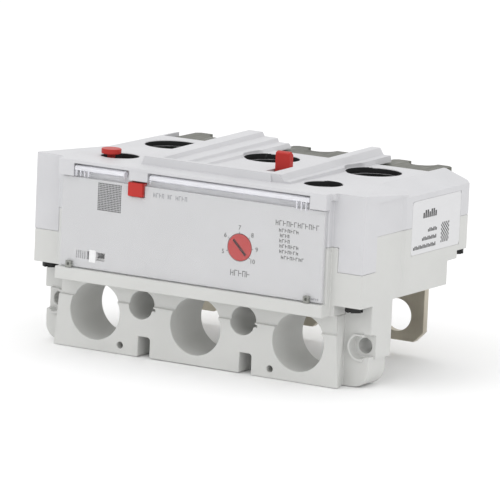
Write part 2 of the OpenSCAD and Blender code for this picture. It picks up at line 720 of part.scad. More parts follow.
module line_terminal(x) color([0.55, 0.56, 0.50]) to_origin() difference() {
    union() {
        box(x - leg_half_w, x + leg_half_w, leg_front, fork_front + line_t,
            line_leg_z, line_leg_z + line_t);
        box(x - leg_half_w, x + leg_half_w, fork_front, fork_front + line_t,
            line_leg_z, fork_top);
        box(x - fork_w / 2, x + fork_w / 2, fork_front, rear_y, fork_top - line_t, fork_top);
    }
    rod_z(x, rear_y - 1, fork_slot_w / 2, fork_top - 10, fork_top + 1);
    box(x - fork_slot_w / 2, x + fork_slot_w / 2, rear_y - 1, rear_y + 1,
        fork_top - 10, fork_top + 1);
    rod_z(x, big_hole_y, terminal_screw_r + 0.1, line_leg_z - 1, line_leg_z + line_t + 1);
    for (s = SIDES)
        translate([x + s * fork_w / 2, rear_y, fork_top - 10]) rotate([0, 0, 45])
            translate([-1.2, -1.2, 0]) cube([2.4, 2.4, 12]);
}

module load_terminal(x) color([0.66, 0.64, 0.58]) to_origin() difference() {
    union() {
        along_y(load_front, load_front + load_t)
            polygon([[x - load_w / 2 + 4, load_bottom], [x + load_w / 2 - 4, load_bottom],
                     [x + load_w / 2, load_bottom + 4],
                     [x + load_w / 2, load_leg_z + load_t],
                     [x - load_w / 2, load_leg_z + load_t],
                     [x - load_w / 2, load_bottom + 4]]);
        box(x - leg_half_w, x + leg_half_w, leg_front, load_front + 1,
            load_leg_z, load_leg_z + load_t);
    }
    rod_y(x, stud_hole_z, stud_hole_r, load_front - 1, load_front + load_t + 1);
    rod_z(x, big_hole_y, terminal_screw_r + 0.05, load_leg_z - 1, load_leg_z + load_t + 1);
}

module heater(x) color([0.72, 0.45, 0.30]) to_origin() difference() {
    along_x(x - heater_half_w, x + heater_half_w)
        polygon([[heater_rear, line_leg_z], [heater_y, line_leg_z],
                 [heater_y, load_leg_z - heater_t], [heater_rear, load_leg_z - heater_t],
                 [heater_rear, load_leg_z], [heater_y + heater_t, load_leg_z],
                 [heater_y + heater_t, line_leg_z - heater_t],
                 [heater_rear, line_leg_z - heater_t]]);
    rod_z(x, big_hole_y, terminal_screw_r + 0.1, line_leg_z - 5, line_leg_z + 1);
    rod_z(x, big_hole_y, terminal_screw_r + 0.05, load_leg_z - 5, load_leg_z + 1);
}

// Strip fixed to the heater at its foot, free at the top
module bimetal(x) color([0.70, 0.68, 0.62]) to_origin() {
    foot = heater_y - bimetal_t;
    free = 34.6;
    difference() {
        along_x(x - 5, x + 5)
            polygon([[heater_y, 42], [heater_y, 47.5], [free, 50], [free, 67],
                     [free - bimetal_t, 67], [free - bimetal_t, 49.5],
                     [foot, 47], [foot, 42]]);
        rod_y(x, calibration_z, calibration_r + running_gap, free - 3, free + 1);
    }
}

module calibration_screw(x) color("silver") to_origin() difference() {
    union() {
        rod_y(x, calibration_z, calibration_r, 31.7, 37);
        rod_y(x, calibration_z, 2, 36.9, 38.1);
    }
    box(x - 3, x + 3, 37.5, 39, calibration_z - 0.3, calibration_z + 0.3);
}

module magnet_yoke(x) color([0.45, 0.46, 0.48]) to_origin() {
    z0 = load_leg_z + 0.5;
    z1 = line_leg_z - heater_t - 0.5;
    back = heater_y + heater_t;
    box(x - yoke_half_w, x + yoke_half_w, back, back + 2.6, z0, z1);
    for (s = SIDES)
        box(x + s * (yoke_half_w - yoke_t / 2) - yoke_t / 2,
            x + s * (yoke_half_w - yoke_t / 2) + yoke_t / 2, yoke_front, back + 1, z0, z1);
}

module armature(x) color([0.50, 0.51, 0.53]) to_origin() difference() {
    union() {
        box(x - 10.5, x + 10.5, armature_pin_y - armature_t / 2,
            armature_pin_y + armature_t / 2, armature_pin_z, armature_top);
        rod_x(armature_pin_y, armature_pin_z, 2.2, x - 10.5, x + 10.5);
    }
    rod_x(armature_pin_y, armature_pin_z, armature_pin_r + running_gap, x - 12, x + 12);
}

module armature_pin(x) color("silver") to_origin()
    rod_x(armature_pin_y, armature_pin_z, armature_pin_r, x - 14.4, x + 14.4);

module armature_spring(x) color("gray") to_origin()
    translate([x, bar_slide_y1, 52]) rotate([-90, 0, 0])
        coil(1.6, 0.3, armature_pin_y - armature_t / 2 - 0.3 - bar_slide_y1, 10, steps = 12,
            sides = 6);

// Black sleeve under a big deck hole, which leads a driver to the terminal screw
module access_sleeve(x) color([0.1, 0.1, 0.1]) to_origin() difference() {
    rod_z(x, big_hole_y, sleeve_bore_r + sleeve_t, sleeve_bottom, ceiling_z);
    rod_z(x, big_hole_y, sleeve_bore_r, sleeve_bottom - 1, ceiling_z + 1);
}

// Black cup that closes a small deck hole from below
module sight_cup(x) color([0.1, 0.1, 0.1]) to_origin() difference() {
    rod_z(x, small_hole_y, cup_bore_r + sleeve_t, cup_bottom, ceiling_z);
    rod_z(x, small_hole_y, cup_bore_r, cup_bottom + sleeve_t, ceiling_z + 1);
    if (x == left)
        box(plunger_x - 1.5, plunger_x + 1.5, plunger_y - 1.3, plunger_y + 1.3,
            cup_bottom - 1, cup_bottom + 3);
}

// --------------------------------------------------------------- fasteners

module terminal_screws() color([0.2, 0.2, 0.2]) to_origin()
    for (x = POLES) difference() {
        union() {
            rod_z(x, big_hole_y, 5.4, line_leg_z + line_t, line_leg_z + line_t + 4);
            rod_z(x, big_hole_y, terminal_screw_r, 49.6, line_leg_z + line_t + 1);
        }
        translate([x, big_hole_y, line_leg_z + line_t + 1.6])
            cylinder(r = 2.9, h = 4, $fn = 6);
    }

module terminal_nuts() color([0.5, 0.5, 0.5]) to_origin()
    for (x = POLES) difference() {
        translate([x, big_hole_y, line_leg_z - heater_t - 3.6])
            cylinder(r = 5.6, h = 3.6, $fn = 6);
        rod_z(x, big_hole_y, terminal_screw_r + 0.02, 49, 58);
    }

module heater_rivets() color([0.7, 0.6, 0.4]) to_origin()
    for (x = POLES) {
        rod_z(x, big_hole_y, terminal_screw_r, load_leg_z - heater_t - 1,
            load_leg_z + load_t + 0.5);
        rod_z(x, big_hole_y, 4.6, load_leg_z - heater_t - 2, load_leg_z - heater_t);
        rod_z(x, big_hole_y, 4.4, load_leg_z + load_t, load_leg_z + load_t + 1.4);
    }

module cover_screw(x, y, z_head, length) difference() {
    union() {
        rod_z(x, y, 3.3, z_head - 2, z_head);
        rod_z(x, y, cover_screw_r, z_head - 1, z_head + length);
    }
    box(x - 4, x + 4, y - 0.5, y + 0.5, z_head - 3, z_head - 1.1);
    box(x - 0.5, x + 0.5, y - 4, y + 4, z_head - 3, z_head - 1.1);
}

module front_cover_screws() color([0.12, 0.12, 0.12]) to_origin()
    for (s = SIDES) cover_screw(s * front_screw_x, front_screw_y, tab_bottom, 22);

module rear_cover_screws() color([0.12, 0.12, 0.12]) to_origin()
    for (s = SIDES) cover_screw(s * rear_screw_x, rear_screw_y, ear_bottom, 19);

// ------------------------------------------------------ one node each pole

module line_terminal_left() line_terminal(left);
module line_terminal_middle() line_terminal(middle);
module line_terminal_right() line_terminal(right);
module load_terminal_left() load_terminal(left);
module load_terminal_middle() load_terminal(middle);
module load_terminal_right() load_terminal(right);
module heater_left() heater(left);
module heater_middle() heater(middle);
module heater_right() heater(right);
module bimetal_left() bimetal(left);
module bimetal_middle() bimetal(middle);
module bimetal_right() bimetal(right);
module calibration_screw_left() calibration_screw(left);
module calibration_screw_middle() calibration_screw(middle);
module calibration_screw_right() calibration_screw(right);
module magnet_yoke_left() magnet_yoke(left);
module magnet_yoke_middle() magnet_yoke(middle);
module magnet_yoke_right() magnet_yoke(right);
module armature_left() armature(left);
module armature_middle() armature(middle);
module armature_right() armature(right);
module armature_pin_left() armature_pin(left);
module armature_pin_middle() armature_pin(middle);
module armature_pin_right() armature_pin(right);
module armature_spring_left() armature_spring(left);
module armature_spring_middle() armature_spring(middle);
module armature_spring_right() armature_spring(right);
module access_sleeve_left() access_sleeve(left);
module access_sleeve_middle() access_sleeve(middle);
module access_sleeve_right() access_sleeve(right);
module sight_cup_left() sight_cup(left);
module sight_cup_middle() sight_cup(middle);
module sight_cup_right() sight_cup(right);

terminal_skirt();
lower_housing();
upper_cover();
faceplate();
clear_cover();
cover_hinge_pins();
seal_posts();
side_label();
push_to_trip_button();
button_spring();
setting_dial();
dial_cam();
adjusting_bar();
indicator_slider();
slider_clip();
trip_bar();
trip_bar_spring();
trip_lever();
interlock_plunger();
plunger_spring();
line_terminal_left();
line_terminal_middle();
line_terminal_right();
load_terminal_left();
load_terminal_middle();
load_terminal_right();
heater_left();
heater_middle();
heater_right();
bimetal_left();
bimetal_middle();
bimetal_right();
calibration_screw_left();
calibration_screw_middle();
calibration_screw_right();
magnet_yoke_left();
magnet_yoke_middle();
magnet_yoke_right();
armature_left();
armature_middle();
armature_right();
armature_pin_left();
armature_pin_middle();
armature_pin_right();
armature_spring_left();
armature_spring_middle();
armature_spring_right();
access_sleeve_left();
access_sleeve_middle();
access_sleeve_right();
sight_cup_left();
sight_cup_middle();
sight_cup_right();
terminal_screws();
terminal_nuts();
heater_rivets();
front_cover_screws();
rear_cover_screws();
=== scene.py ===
import json
import math

import bmesh
import bpy
from mathutils import Matrix, Vector

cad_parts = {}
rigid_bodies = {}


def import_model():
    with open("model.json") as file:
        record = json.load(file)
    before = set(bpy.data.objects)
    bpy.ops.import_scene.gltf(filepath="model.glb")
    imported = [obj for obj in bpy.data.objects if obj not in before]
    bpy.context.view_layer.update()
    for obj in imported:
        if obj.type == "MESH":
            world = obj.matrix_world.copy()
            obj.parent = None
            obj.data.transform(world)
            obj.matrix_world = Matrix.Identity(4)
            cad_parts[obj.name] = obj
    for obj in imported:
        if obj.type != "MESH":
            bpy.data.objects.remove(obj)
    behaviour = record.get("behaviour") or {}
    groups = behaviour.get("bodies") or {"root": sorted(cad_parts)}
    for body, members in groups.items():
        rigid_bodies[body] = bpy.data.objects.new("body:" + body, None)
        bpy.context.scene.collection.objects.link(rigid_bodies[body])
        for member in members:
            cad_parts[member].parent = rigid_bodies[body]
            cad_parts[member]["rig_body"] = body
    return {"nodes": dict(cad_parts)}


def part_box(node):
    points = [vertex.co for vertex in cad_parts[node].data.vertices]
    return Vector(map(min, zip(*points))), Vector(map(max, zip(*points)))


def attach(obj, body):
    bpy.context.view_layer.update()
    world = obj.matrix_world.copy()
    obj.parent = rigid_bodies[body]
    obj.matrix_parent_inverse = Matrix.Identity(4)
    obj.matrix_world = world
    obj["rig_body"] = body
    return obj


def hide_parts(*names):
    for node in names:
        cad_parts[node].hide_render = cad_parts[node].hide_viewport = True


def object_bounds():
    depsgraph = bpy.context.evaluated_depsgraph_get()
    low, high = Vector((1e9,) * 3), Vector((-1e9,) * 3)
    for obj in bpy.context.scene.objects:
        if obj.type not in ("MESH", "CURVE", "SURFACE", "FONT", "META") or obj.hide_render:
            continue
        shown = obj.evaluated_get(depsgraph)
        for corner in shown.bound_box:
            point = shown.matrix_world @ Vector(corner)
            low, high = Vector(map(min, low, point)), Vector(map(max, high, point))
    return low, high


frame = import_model()
cad_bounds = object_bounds()

MM = 0.001
SKIRT_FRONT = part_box("terminal_skirt")[0].y   # Y below is counted from this face


def at(x, y, z):
    """A point given in millimetres, with Y counted from the skirt's front face."""
    return Vector((x * MM, SKIRT_FRONT + y * MM, z * MM))


# ------------------------------------------------------------------ materials

def shader_nodes(name):
    """A new material, its node tree and its principled shader."""
    material = bpy.data.materials.new(name)
    material.use_nodes = True
    tree = material.node_tree
    return material, tree, tree.nodes["Principled BSDF"]


def noise(tree, scale, detail=3.0, stretch=(1, 1, 1)):
    """Noise in the object's own metres; scale is in cycles a metre."""
    coords = tree.nodes.new("ShaderNodeTexCoord")
    mapping = tree.nodes.new("ShaderNodeMapping")
    mapping.inputs["Scale"].default_value = stretch
    texture = tree.nodes.new("ShaderNodeTexNoise")
    texture.inputs["Scale"].default_value = scale
    texture.inputs["Detail"].default_value = detail
    tree.links.new(coords.outputs["Object"], mapping.inputs["Vector"])
    tree.links.new(mapping.outputs["Vector"], texture.inputs["Vector"])
    return texture.outputs["Fac"]


def ramp(tree, value, low, high, start=0.3, end=0.7):
    """Colour ramp between two grey levels or colours."""
    node = tree.nodes.new("ShaderNodeValToRGB")
    for element, place, colour in zip(node.color_ramp.elements, (start, end), (low, high)):
        element.position = place
        element.color = colour if len(colour) == 4 else (*colour, 1)
    tree.links.new(value, node.inputs["Fac"])
    return node.outputs["Color"]


def grey_range(tree, value, low, high):
    node = tree.nodes.new("ShaderNodeMapRange")
    node.inputs["From Min"].default_value = 0.3
    node.inputs["From Max"].default_value = 0.7
    node.inputs["To Min"].default_value = low
    node.inputs["To Max"].default_value = high
    tree.links.new(value, node.inputs["Value"])
    return node.outputs["Result"]


def bump(tree, shader, heights):
    """Chains bumps; heights is a list of (value, strength, distance in metres)."""
    last = None
    for value, strength, distance in heights:
        node = tree.nodes.new("ShaderNodeBump")
        node.inputs["Strength"].default_value = strength
        node.inputs["Distance"].default_value = distance
        tree.links.new(value, node.inputs["Height"])
        if last:
            tree.links.new(last, node.inputs["Normal"])
        last = node.outputs["Normal"]
    tree.links.new(last, shader.inputs["Normal"])


def tint(colour, factor):
    return tuple(min(1.0, c * factor) for c in colour)


def moulded(name, colour, roughness=0.45, grain=0.35, spread=0.03, specular=0.4):
    """Moulded plastic: faint cloudy colour, fine spark-eroded grain, slight sink waviness."""
    material, tree, shader = shader_nodes(name)
    clouds = noise(tree, 45, 4)
    tree.links.new(ramp(tree, clouds, tint(colour, 1 - spread), tint(colour, 1 + spread)),
                   shader.inputs["Base Color"])
    specks = noise(tree, 1600, 2)
    tree.links.new(grey_range(tree, specks, roughness - 0.05, roughness + 0.06),
                   shader.inputs["Roughness"])
    shader.inputs["Specular IOR Level"].default_value = specular
    bump(tree, shader, [(noise(tree, 60, 2), 0.25, 0.0002),
                        (noise(tree, 3200, 2), grain, 0.00003)])
    return material


def metal(name, light, dark, roughness=0.35, along="x", blotches=70, metallic=1.0):
    """Rolled or plated metal: drawn lines along one axis and uneven staining."""
    material, tree, shader = shader_nodes(name)
    stains = noise(tree, blotches, 5)
    tree.links.new(ramp(tree, stains, dark, light), shader.inputs["Base Color"])
    shader.inputs["Metallic"].default_value = metallic
    stretch = {"x": (0.04, 1, 1), "y": (1, 0.04, 1), "z": (1, 1, 0.04)}[along]
    lines = noise(tree, 2200, 3, stretch)
    tree.links.new(grey_range(tree, lines, roughness - 0.08, roughness + 0.14),
                   shader.inputs["Roughness"])
    bump(tree, shader, [(lines, 0.25, 0.00003), (stains, 0.1, 0.0001)])
    return material


def clear_sheet(name):
    """Clear moulded sheet with a faint haze and light scuffs."""
    material, tree, shader = shader_nodes(name)
    haze = noise(tree, 80, 4)
    tree.links.new(ramp(tree, haze, (0.86, 0.88, 0.93), (0.93, 0.94, 0.97)),
                   shader.inputs["Base Color"])
    tree.links.new(grey_range(tree, noise(tree, 900, 3), 0.08, 0.16),
                   shader.inputs["Roughness"])
    shader.inputs["Alpha"].default_value = 0.04
    shader.inputs["Specular IOR Level"].default_value = 0.8
    return material


def clear_solid(name):
    """Thick clear plastic that bends what lies behind it, with a whitish, mostly opaque base
    colour that is a painted highlight.
    """
    material, tree, shader = shader_nodes(name)
    haze = noise(tree, 300, 3)
    tree.links.new(ramp(tree, haze, (0.86, 0.86, 0.90), (0.93, 0.93, 0.97)),
                   shader.inputs["Base Color"])
    shader.inputs["Transmission Weight"].default_value = 0.3
    shader.inputs["IOR"].default_value = 1.5
    tree.links.new(grey_range(tree, haze, 0.03, 0.1), shader.inputs["Roughness"])
    bump(tree, shader, [(noise(tree, 400, 2, (0.05, 1, 1)), 0.3, 0.0001)])
    return material


def ink(name, colour):
    """Pad-printed ink, a little worn and uneven."""
    material, tree, shader = shader_nodes(name)
    wear = noise(tree, 2500, 4)
    tree.links.new(ramp(tree, wear, colour, tint(colour, 1.35), 0.45, 0.75),
                   shader.inputs["Base Color"])
    tree.links.new(grey_range(tree, wear, 0.5, 0.65), shader.inputs["Roughness"])
    return material


def paper(name, colour):
    """Satin sticker with a faint fibre."""
    material, tree, shader = shader_nodes(name)
    fibre = noise(tree, 700, 5, (1, 0.4, 1))
    tree.links.new(ramp(tree, fibre, tint(colour, 0.97), colour), shader.inputs["Base Color"])
    tree.links.new(grey_range(tree, fibre, 0.38, 0.5), shader.inputs["Roughness"])
    bump(tree, shader, [(fibre, 0.15, 0.00003)])
    return material


def floor_paint(name):
    material, tree, shader = shader_nodes(name)
    tree.links.new(ramp(tree, noise(tree, 3, 2), (0.975, 0.975, 0.975), (0.985, 0.985, 0.985)),
                   shader.inputs["Base Color"])
    shader.inputs["Roughness"].default_value = 0.9
    return material


HOUSING = moulded("housing_plastic", (0.605, 0.608, 0.592), 0.5)
COVER = moulded("cover_plastic", (0.60, 0.60, 0.616), 0.45)
FACE = moulded("faceplate_plastic", (0.575, 0.575, 0.582), 0.4, 0.15, 0.015)
RED = moulded("red_plastic", (0.48, 0.032, 0.026), 0.4, 0.2, 0.06, 0.25)
DIAL_RED = moulded("dial_plastic", (0.46, 0.035, 0.03), 0.4, 0.2, 0.05, 0.2)
# painted shade: near-black red for the inside of the dial's driver slot
SLOT_PAINTED_SHADE = moulded("dial_slot_painted_shade", (0.09, 0.008, 0.008), 0.5, 0.2, 0.05, 0.1)
BLACK = moulded("black_plastic", (0.012, 0.012, 0.013), 0.55, 0.4, 0.1)
WHITE = moulded("slider_plastic", (0.85, 0.85, 0.85), 0.35, 0.15)
CLEAR = clear_sheet("clear_sheet")
# painted highlight: the whitish, mostly opaque rod material stands in for the clear rod's
# bright band
CLEAR_ROD_HIGHLIGHT = clear_solid("clear_rod_painted_highlight")
SEAL = moulded("seal_plastic", (0.26, 0.265, 0.245), 0.3, 0.2, 0.06, 0.5)
STEEL = metal("zinc_steel", (0.62, 0.62, 0.61), (0.42, 0.42, 0.41), 0.32)
BLACK_STEEL = metal("black_steel", (0.03, 0.03, 0.03), (0.012, 0.012, 0.012), 0.4, "x", 90, 0.6)
LINE_METAL = metal("line_plate", (0.15, 0.15, 0.125), (0.085, 0.088, 0.07), 0.42, "y", 60, 0.75)
LOAD_METAL = metal("load_plate", (0.56, 0.52, 0.43), (0.40, 0.365, 0.30), 0.36, "z", 55, 0.75)
COPPER = metal("heater_copper", (0.72, 0.42, 0.28), (0.45, 0.24, 0.15), 0.35, "z")
BIMETAL = metal("bimetal_strip", (0.60, 0.58, 0.53), (0.42, 0.40, 0.36), 0.3, "z")
MAGNET = metal("magnet_steel", (0.28, 0.28, 0.30), (0.16, 0.16, 0.18), 0.45, "x", 120)
BRASS = metal("brass", (0.74, 0.58, 0.28), (0.50, 0.36, 0.16), 0.3)
LABEL = paper("label_paper", (0.68, 0.68, 0.69))
GREY_INK = ink("grey_ink", (0.12, 0.12, 0.115))
PALE_INK = ink("pale_ink", (0.27, 0.27, 0.285))
DARK_INK = ink("dark_ink", (0.03, 0.03, 0.03))
FLOOR = floor_paint("floor")

NODE_MATERIALS = {
    "cover_hinge_pins": STEEL, "side_label": LABEL, "button_spring": STEEL,
    "dial_cam": BLACK, "adjusting_bar": BLACK, "slider_clip": STEEL,
    "trip_bar": BLACK, "trip_bar_spring": STEEL, "plunger_spring": STEEL,
    "heater": COPPER, "bimetal": BIMETAL, "calibration_screw": BRASS,
    "magnet_yoke": MAGNET, "armature": MAGNET, "armature_pin": STEEL,
    "armature_spring": STEEL, "access_sleeve": BLACK, "sight_cup": BLACK,
    "terminal_nuts": STEEL, "heater_rivets": BRASS,
}


def dress(obj, material):
    obj.data.materials.clear()
    obj.data.materials.append(material)


def dress_cad_nodes():
    for name, obj in frame["nodes"].items():
        stem = name
        for side in ("_left", "_middle", "_right"):
            stem = stem.removesuffix(side)
        if stem in NODE_MATERIALS:
            dress(obj, NODE_MATERIALS[stem])


# ------------------------------------------------------------- rounded shells

def face_depth(face, edge):
    """How far a face reaches from one of its edges."""
    a, b = edge.verts[0].co, edge.verts[1].co
    along = (b - a).normalized()
    return max((v.co - a - along * (v.co - a).dot(along)).length for v in face.verts)


def sharp(edge, angle):
    return len(edge.link_faces) == 2 and edge.calc_face_angle(0) > angle


def in_smooth_chain(edge, angle):
    """True where the edge runs on through both ends, as along the rim of a hole."""
    for vert in edge.verts:
        here = (edge.other_vert(vert).co - vert.co).normalized()
        onward = [e for e in vert.link_edges if e is not edge and sharp(e, angle)]
        if not any((e.other_vert(vert).co - vert.co).normalized().dot(here) < -0.9
                   for e in onward):
            return False
    return True


FLUSH_SEAM_Z = (29.9, 31.3)
FLUSH_SEAM_X = 57.0


def in_flush_seam(edge):
    """True along the seam where skirt and housing meet flush and read as one moulding."""
    low, high = FLUSH_SEAM_Z
    return all(low * MM < v.co.z < high * MM and abs(v.co.x) > FLUSH_SEAM_X * MM
               for v in edge.verts)


def rounded_edges(bm, width, angle):
    picked = []
    for edge in bm.edges:
        if not sharp(edge, angle) or in_flush_seam(edge):
            continue
        if edge.calc_length() < 3 * width and not in_smooth_chain(edge, angle):
            continue
        if min(face_depth(f, edge) for f in edge.link_faces) < 2.2 * width:
            continue
        picked.append(edge)
    return picked


def torn_places(bm):
    """Centres of the triangles that face against their own polygon."""
    bm.normal_update()
    places = []
    for a, b, c in bm.calc_loop_triangles():
        normal = (b.vert.co - a.vert.co).cross(c.vert.co - a.vert.co)
        if normal.length > 2e-9 and normal.normalized().dot(a.face.normal) < 0.3:
            places.append([loop.vert.co.copy() for loop in (a, b, c)])
    return places


def middle(edge):
    """Rounded midpoint that names an edge again after a rebuild."""
    return tuple(round(c, 6) for c in (edge.verts[0].co + edge.verts[1].co) / 2)


def cleaned(source):
    bm = bmesh.new()
    bm.from_mesh(source.data)
    bmesh.ops.remove_doubles(bm, verts=bm.verts, dist=1e-6)
    bmesh.ops.dissolve_limit(bm, angle_limit=math.radians(0.6), verts=bm.verts,
                             edges=bm.edges)
    return bm


def rounded_mesh(source, width, segments, angle):
    """Bevels every edge that takes it, and leaves the edges that tear a face sharp."""
    dropped = set()
    for _ in range(8):
        bm = cleaned(source)
        edges = [e for e in rounded_edges(bm, width, angle)
                 if middle(e) not in dropped]
        before = [(middle(e), [v.co.copy() for v in e.verts]) for e in edges]
        bmesh.ops.bevel(bm, geom=edges, offset=width, offset_type="OFFSET",
                        segments=segments, profile=0.5, affect="EDGES",
                        clamp_overlap=False)
        places = torn_places(bm)
        if not places:
            return bm
        reach = 2.5 * width
        lost = {key for key, ends in before
                if any((end - point).length < reach
                       for end in ends for tri in places for point in tri)}
        bm.free()
        if not lost - dropped:
            break
        dropped |= lost
    return cleaned(source)


def rounded_copy(node, width, material, segments=2, angle=math.radians(30)):
    """A copy of a CAD node with broken edges, which is shown in its place."""
    source = frame["nodes"][node]
    bm = rounded_mesh(source, width, segments, angle)
    piece = add_mesh(node + "_shell", bm, material)
    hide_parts(node)
    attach(piece, source["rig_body"])
    return piece


BROAD = 2.0 * MM          # a face that reaches further than this keeps its folds crisp
HARD_FOLD = math.radians(50)
SOFT_FOLD = math.radians(4)


def crease(edge):
    """True on a hard edge, and on a shallow fold between two broad faces."""
    if len(edge.link_faces) != 2:
        return True
    angle = edge.calc_face_angle(0)
    if angle > HARD_FOLD:
        return True
    return (angle > SOFT_FOLD
            and min(face_depth(face, edge) for face in edge.link_faces) > BROAD)


def add_mesh(name, bm, material, smooth=True):
    mesh = bpy.data.meshes.new(name)
    bm.normal_update()
    for face in bm.faces:
        face.smooth = smooth
    for edge in bm.edges:
        edge.smooth = not crease(edge)
    bm.to_mesh(mesh)
    bm.free()
    obj = bpy.data.objects.new(name, mesh)
    bpy.context.scene.collection.objects.link(obj)
    mesh.materials.append(material)
    if smooth:
        normals = obj.modifiers.new("even_normals", "WEIGHTED_NORMAL")
        normals.keep_sharp = True
        normals.weight = 100
    return obj


ROUNDED = (
    ("terminal_skirt", 0.4, HOUSING), ("lower_housing", 0.35, HOUSING),
    ("upper_cover", 0.35, COVER), ("faceplate", 0.2, FACE),
    ("push_to_trip_button", 0.25, RED), ("setting_dial", 0.2, DIAL_RED),
    ("indicator_slider", 0.2, WHITE), ("trip_lever", 0.4, RED),
    ("interlock_plunger", 0.3, RED), ("seal_posts", 0.12, SEAL),
    ("terminal_screws", 0.3, BLACK_STEEL), ("front_cover_screws", 0.2, BLACK_STEEL),
    ("rear_cover_screws", 0.2, BLACK_STEEL),
    ("line_terminal_left", 0.3, LINE_METAL), ("line_terminal_middle", 0.3, LINE_METAL),
    ("line_terminal_right", 0.3, LINE_METAL), ("load_terminal_left", 0.3, LOAD_METAL),
    ("load_terminal_middle", 0.3, LOAD_METAL), ("load_terminal_right", 0.3, LOAD_METAL),
)


# ------------------------------------------------------------- printed marks

def add_box(bm, low, high):
    """Closed box between two corners."""
    centre = (low + high) / 2
    size = high - low
    matrix = Matrix.Translation(centre) @ Matrix.Diagonal((*size, 1))
    bmesh.ops.create_cube(bm, size=1, matrix=matrix)


INK_T = 0.03              # half the thickness of a printed mark, in millimetres
STROKE = 0.28             # width of one printed stroke, in millimetres


def faceplate_front():
    """The faceplate's front face, in millimetres behind the skirt's front."""
    return (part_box("faceplate")[0].y - SKIRT_FRONT) / MM


def on_housing(piece):
    """A printed mark moves with the housing."""
    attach(piece, "housing")


def printed(name, rows, material):
    """Thin ink boxes on the faceplate; rows are (x0, x1, z0, z1) in millimetres."""
    bm = bmesh.new()
    face_y = faceplate_front()
    for x0, x1, z0, z1 in rows:
        add_box(bm, at(x0, face_y - INK_T, z0), at(x1, face_y + INK_T, z1))
    on_housing(add_mesh(name, bm, material, smooth=False))


def word_strokes(x0, x1, z, height, letters, gap=0.35):
    """A row of upright strokes that stands for a word without spelling one."""
    pitch = (x1 - x0) / letters
    strokes = []
    for k in range(letters):
        left = x0 + k * pitch
        right = left + pitch - gap
        strokes.append((left, left + STROKE, z - height / 2, z + height / 2))
        level = z + height / 2 - STROKE if k % 2 else z - STROKE / 2
        strokes.append((left + STROKE, right, level, level + STROKE))
        if k % 3 == 0:
            strokes.append((right - STROKE, right, z - height / 2, z + height / 2 - STROKE))
    return strokes


DIAL_X = 20.8
DIAL_Z = 47.2


def face_prints():
    """Strokes in place of the captions and ratings; they spell nothing."""
    words = (word_strokes(-16.4, -11.5, 61.9, 1.7, 4) + word_strokes(-10.3, -8.1, 61.9, 1.7, 2)
             + word_strokes(-6.9, -1.7, 61.9, 1.7, 4))
    printed("button_caption_marks", words, PALE_INK)
    printed("dial_caption_marks",
            word_strokes(DIAL_X - 3.4, DIAL_X + 5.0, DIAL_Z - 9.4, 2.2, 5), GREY_INK)
    rows = word_strokes(35.4, 53.8, 58.3, 1.9, 12, 0.4)
    lines = [(36.9, 45.3, 55.7), (37.4, 41.6, 53.8), (37.2, 41.8, 51.9), (37.4, 45.5, 50.0),
             (37.4, 45.5, 48.0), (38.2, 48.0, 45.9)]
    for x0, x1, z in lines:
        rows += word_strokes(x0, x1, z, 1.3, max(3, round((x1 - x0) / 1.2)), 0.3)
    printed("rating_marks", rows, GREY_INK)
    printed("corner_marks", word_strokes(51.6, 54.6, 32.4, 0.8, 4, 0.25), PALE_INK)


def dot_panel():
    """An even grid of square dots where a printed square sits."""
    x0, z0, width, height, count = -40.1, 53.4, 10.2, 10.4, 16
    step_x, step_z = width / count, height / count
    filled = 0.72
    rows = [(x0 + i * step_x, x0 + (i + filled) * step_x,
             z0 + j * step_z, z0 + (j + filled) * step_z)
            for i in range(count) for j in range(count)]
    printed("dot_panel", rows, DARK_INK)


DIAL_FIGURES = (("5", 198), ("6", 148), ("7", 92), ("8", 44), ("9", 0), ("10", -39))


def dial_scale():
    """Ticks and the figures 5 to 10 round the dial."""
    tick_in, tick_out, figure_r = 5.15, 5.75, 7.2
    centre = at(DIAL_X, faceplate_front(), DIAL_Z)
    bm = bmesh.new()
    for _, degrees in DIAL_FIGURES:
        turn = Matrix.Rotation(-math.radians(degrees), 4, "Y")
        low = Vector((tick_in, -INK_T, -0.14)) * MM
        high = Vector((tick_out, INK_T, 0.14)) * MM
        matrix = (Matrix.Translation(centre) @ turn @ Matrix.Translation((low + high) / 2)
                  @ Matrix.Diagonal((*(high - low), 1)))
        bmesh.ops.create_cube(bm, size=1, matrix=matrix)
    on_housing(add_mesh("dial_ticks", bm, GREY_INK, smooth=False))
    for figure, degrees in DIAL_FIGURES:
        angle = math.radians(degrees)
        text = bpy.data.curves.new("dial_figure_" + figure, "FONT")
        text.body = figure
        text.size = 2.3 * MM
        text.extrude = INK_T * MM
        text.offset = 0.03 * MM
        text.align_x = "CENTER"
        text.align_y = "CENTER"
        label = bpy.data.objects.new("dial_figure_" + figure, text)
        bpy.context.scene.collection.objects.link(label)
        text.materials.append(GREY_INK)
        label.location = centre + Vector((math.cos(angle), 0, math.sin(angle))) * figure_r * MM
        label.rotation_euler = (math.radians(90), 0, 0)
        on_housing(label)


def side_prints():
    """Broken bars and a checked square on the side sticker."""
    label_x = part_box("side_label")[1].x / MM
    bars = [(41.6, 52.9, 58.0, 60.9, 1.5), (45.6, 52.9, 52.6, 54.0, 1.0),
            (41.4, 52.6, 49.7, 51.1, 1.0), (35.0, 52.3, 46.9, 48.3, 1.0)]
    bm = bmesh.new()
    for y0, y1, z0, z1, pitch in bars:
        for k in range(int((y1 - y0) / pitch)):
            start = y0 + k * pitch
            tall = z1 if k % 3 else z1 - 0.3 * (z1 - z0)
            add_box(bm, at(label_x - INK_T, start, z0),
                    at(label_x + 0.01, start + 0.72 * pitch, tall))
    cell = 0.75
    for i in range(8):
        for j in range(10):
            if (i + j) % 2 == 0:
                y0, z0 = 55.6 + i * cell, 47.4 + j * cell
                add_box(bm, at(label_x - INK_T, y0, z0),
                        at(label_x + 0.01, y0 + cell, z0 + cell))
    on_housing(add_mesh("side_label_marks", bm, DARK_INK, smooth=False))


# ------------------------------------------------------------- second colours

